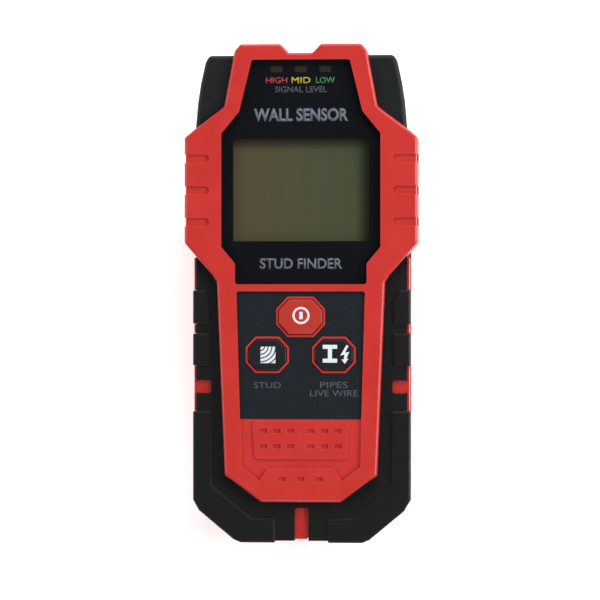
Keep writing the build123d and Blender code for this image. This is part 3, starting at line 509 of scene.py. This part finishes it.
def back_print():
    """Black print on the back of the window, out to its edge, with openings for the display and the lights.
    A flat filled curve: the window's outline, grown about its middle, with the openings as loops inside."""
    window = nodes["display_window"].data
    count = len(window.vertices)
    co = np.empty(count * 3)
    window.vertices.foreach_get("co", co)
    co = co.reshape(-1, 3)
    underside = co[:, 2] < co[:, 2].min() + 0.01 * mm
    rim = np.unique(np.round(co[underside][:, :2], 7), axis=0)
    centre = rim.mean(0)
    rim = rim[np.argsort(np.arctan2(rim[:, 1] - centre[1], rim[:, 0] - centre[0]))]
    growth = 1.0045                # out to the wall of the recess
    rim = centre + (rim - centre) * growth
    openings = [(lcd_view[0].x, lcd_view[0].y, lcd_view[1].x, lcd_view[1].y)]
    low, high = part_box("light_guide")
    y = (low.y + high.y) / 2
    for x in (low.x + lamp_half, (low.x + high.x) / 2, high.x - lamp_half):
        openings.append((x - lamp_half, y - lamp_high, x + lamp_half, y + lamp_high))
    curve = bpy.data.curves.new("window_back_print", "CURVE")
    curve.dimensions, curve.fill_mode = "2D", "BOTH"
    loops = [rim, *(np.array([(a, b), (c, b), (c, d), (a, d)]) for a, b, c, d in openings)]
    for loop in loops:
        spline = curve.splines.new("POLY")
        spline.points.add(len(loop) - 1)
        height, weight = np.zeros(len(loop)), np.ones(len(loop))
        spline.points.foreach_set("co", np.column_stack([loop, height, weight]).ravel())
        spline.use_cyclic_u = True
    flat = bpy.data.objects.new("window_back_outline", curve)
    mesh = bpy.data.meshes.new_from_object(flat)
    bpy.data.objects.remove(flat)
    mesh.transform(Matrix.Translation((0, 0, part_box("display_window")[0].z + lift)))
    mesh.name = "window_back_print"
    mesh.materials.clear()
    mesh.materials.append(finishes["bezel_black"])
    item = bpy.data.objects.new("window_back_print", mesh)
    scene.collection.objects.link(item)
    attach(item, "casing")


back_print()

small_cap = 2.0 * mm               # height of the small labels' capitals

# labels under the window, read through it: name, words, x, y, cap height, width, ink, weight
under_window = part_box("display_window")[0].z + lift + film
lights_low, lights_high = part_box("light_guide")
light_x = (lights_high.x - lights_low.x) / 2 - lamp_half
label_y = (lights_low.y + lights_high.y) / 2 - 3.65 * mm
for name, text, x, y, cap, width, material, weight in (
    ("signal_label_high", "HIGH", -light_x, label_y, small_cap, 7.0 * mm, red_ink, 0.012),
    ("signal_label_mid", "MID", 0, label_y, small_cap, 6.2 * mm, yellow_ink, 0.012),
    ("signal_label_low", "LOW", light_x, label_y, small_cap, 6.2 * mm, green_ink, 0.012),
    ("signal_caption", "SIGNAL LEVEL", 0, label_y - 3.0 * mm, small_cap, 17.0 * mm, dim_ink, 0.01),
    ("window_heading", "WALL SENSOR", 0, label_y - 11.3 * mm, 4.3 * mm, 31.0 * mm, grey_ink, 0.035),
    ("window_footing", "STUD FINDER", 0, 9.8 * mm, 3.5 * mm, 27.0 * mm, grey_ink, 0.02),
):
    words(name, text, (x, y, under_window), cap, width, material, "casing", weight=weight)

# labels on the keypad inlay: name, words, x, distance below the side keys, width
on_panel = top_of("keypad_panel")
left_x, key_row = middle("wood_key")
for name, text, x, drop, width in (
    ("stud_label", "STUD", left_x, 9.9 * mm, 8.8 * mm),
    ("pipe_label", "PIPES", -left_x, 9.8 * mm, 9.0 * mm),
    ("live_wire_label", "LIVE WIRE", -left_x, 12.5 * mm, 15.6 * mm),
):
    words(name, text, (x, key_row - drop, on_panel), small_cap, width, dim_ink, "casing")


def power_symbol():
    """Ring with a short upright bar inside it: the points of two circles, and a rectangle."""
    all_round = np.linspace(0, 2 * math.pi, 49)
    ring = band(all_round, 2.1 * mm, 2.8 * mm, 0, film)
    half_x, half_y = 0.55 * mm, 1.2 * mm
    bar = plate([(-half_x, -half_y), (half_x, -half_y), (half_x, half_y), (-half_x, half_y)], 0, film)
    centre = middle("power_key") + [0.2 * mm, 0.45 * mm]
    points, faces = joined([ring, bar], (*centre, top_of("power_key")))
    piece_from("power_symbol", points, faces, white_ink, "power_key")


def stud_symbol():
    """End grain of a stud: growth-ring bands about the block's upper left corner, cut off at its sides.
    A band runs from its inner radius to its outer radius, or to the block's side where that is nearer."""
    wide, high = 4.9 * mm, 5.4 * mm
    pitch, line = 1.22 * mm, 0.36 * mm
    corner = middle("wood_key") + np.array([0.3 * mm - wide / 2, high / 2])
    bands, inner = [], 0.25 * mm
    last_inner = math.hypot(wide, high) - 0.4 * mm
    while inner < last_inner:
        first = math.acos(wide / inner) if inner > wide else 0.0
        last = math.asin(high / inner) if inner > high else math.pi / 2
        angle = np.linspace(first, last, 25)
        side = np.minimum(wide / np.maximum(np.cos(angle), 1e-6), high / np.maximum(np.sin(angle), 1e-6))
        outer = np.maximum(np.minimum(inner + pitch - line, side), inner + 1e-6)
        bands.append(band(-angle[::-1], inner, outer[::-1], 0, film))
        inner += pitch
    points, faces = joined(bands, (*corner, top_of("wood_key")))
    piece_from("stud_symbol", points, faces, white_ink, "wood_key")


def beam_and_bolt_symbol():
    """Steel beam's section beside a lightning bolt that ends in an arrow."""
    centre = middle("metal_key")
    half, web, flange, tall = 2.35 * mm, 0.68 * mm, 1.3 * mm, 2.9 * mm
    beam = [(-half, -tall), (half, -tall), (half, flange - tall), (web, flange - tall), (web, tall - flange),
            (half, tall - flange), (half, tall), (-half, tall), (-half, tall - flange), (-web, tall - flange),
            (-web, flange - tall), (-half, flange - tall)]
    bolt = np.array([(0.35, 3.0), (-1.2, -0.35), (-0.1, -0.1), (-0.35, -1.7), (-0.95, -1.6), (-0.05, -3.1),
                     (0.95, -1.35), (0.35, -1.5), (1.15, 0.85), (0.05, 0.55), (0.95, 2.85)]) * mm
    beam = np.array(beam) + [-1.25 * mm, 0.4 * mm]
    bolt = bolt[::-1] * [1.25, 1] + [3.65 * mm, 0.2 * mm]
    parts = [plate(beam, 0, film), plate(bolt, 0, film)]
    points, faces = joined(parts, (*centre, top_of("metal_key")))
    piece_from("beam_and_bolt_symbol", points, faces, white_ink, "metal_key")


power_symbol()
stud_symbol()
beam_and_bolt_symbol()

# polarity and voltage on the battery's jacket, read with the door open
below_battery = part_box("battery")[0].z - lift - film
battery_x, battery_y = middle("battery")
for name, text, y, cap, width in (
    ("battery_voltage", "9 V", battery_y - 6 * mm, 8.0 * mm, 15.0 * mm),
    ("battery_polarity", "+      -", battery_y + 17 * mm, 3.0 * mm, 15.0 * mm),
):
    words(name, text, (battery_x, y, below_battery), cap, width, white_ink, "casing",
          weight=0.02, facing_down=True)


# ---- Stage and light
def floor():
    """Wide pale sheet under the object, lit a little from beneath."""
    half = 4.0                     # metres
    material, tree, shader, place = new_material("pale_paper")
    grain = add(tree, "TexNoise", {"Vector": place, "Scale": 1 / (60 * mm), "Detail": 2.0}).outputs["Fac"]
    colour = ramp(tree, grain, [(0.3, linear("#fafaf9")), (0.7, linear("#fcfcfb"))])
    tree.links.new(colour, shader.inputs["Base Color"])
    fix(shader, Roughness=0.9, Specular_IOR_Level=0.1)
    fix(shader, Emission_Color=linear("#ffffff"), Emission_Strength=0.3)
    mesh = bpy.data.meshes.new("floor")
    corners = [(-half, -half, 0), (half, -half, 0), (half, half, 0), (-half, half, 0)]
    mesh.from_pydata(corners, [], [(0, 1, 2, 3)])
    mesh.materials.append(material)
    sheet = bpy.data.objects.new("floor", mesh)
    scene.collection.objects.link(sheet)


softbox_size = 0.9


def softbox(name, place, power):
    """Square area light that looks at the object."""
    light = bpy.data.lights.new(name, "AREA")
    light.shape, light.size, light.energy = "SQUARE", softbox_size, power
    item = bpy.data.objects.new(name, light)
    item.matrix_world = aim(place, (0, 0, 0.02), (0, 1, 0.01))
    item.visible_camera = False
    scene.collection.objects.link(item)


floor()
softbox("softbox_left", (-1.3, 0.15, 0.85), 11.5)
softbox("softbox_right", (1.3, 0.2, 0.8), 27.0)
softbox("softbox_top", (0.25, 1.35, 0.85), 22.5)
softbox("softbox_tail", (-0.1, -1.35, 0.85), 10.0)
world = bpy.data.worlds.new("studio")
world.use_nodes = True
background = world.node_tree.nodes["Background"]
background.inputs["Color"].default_value = (1, 1, 1, 1)
background.inputs["Strength"].default_value = 0.12
scene.world = world
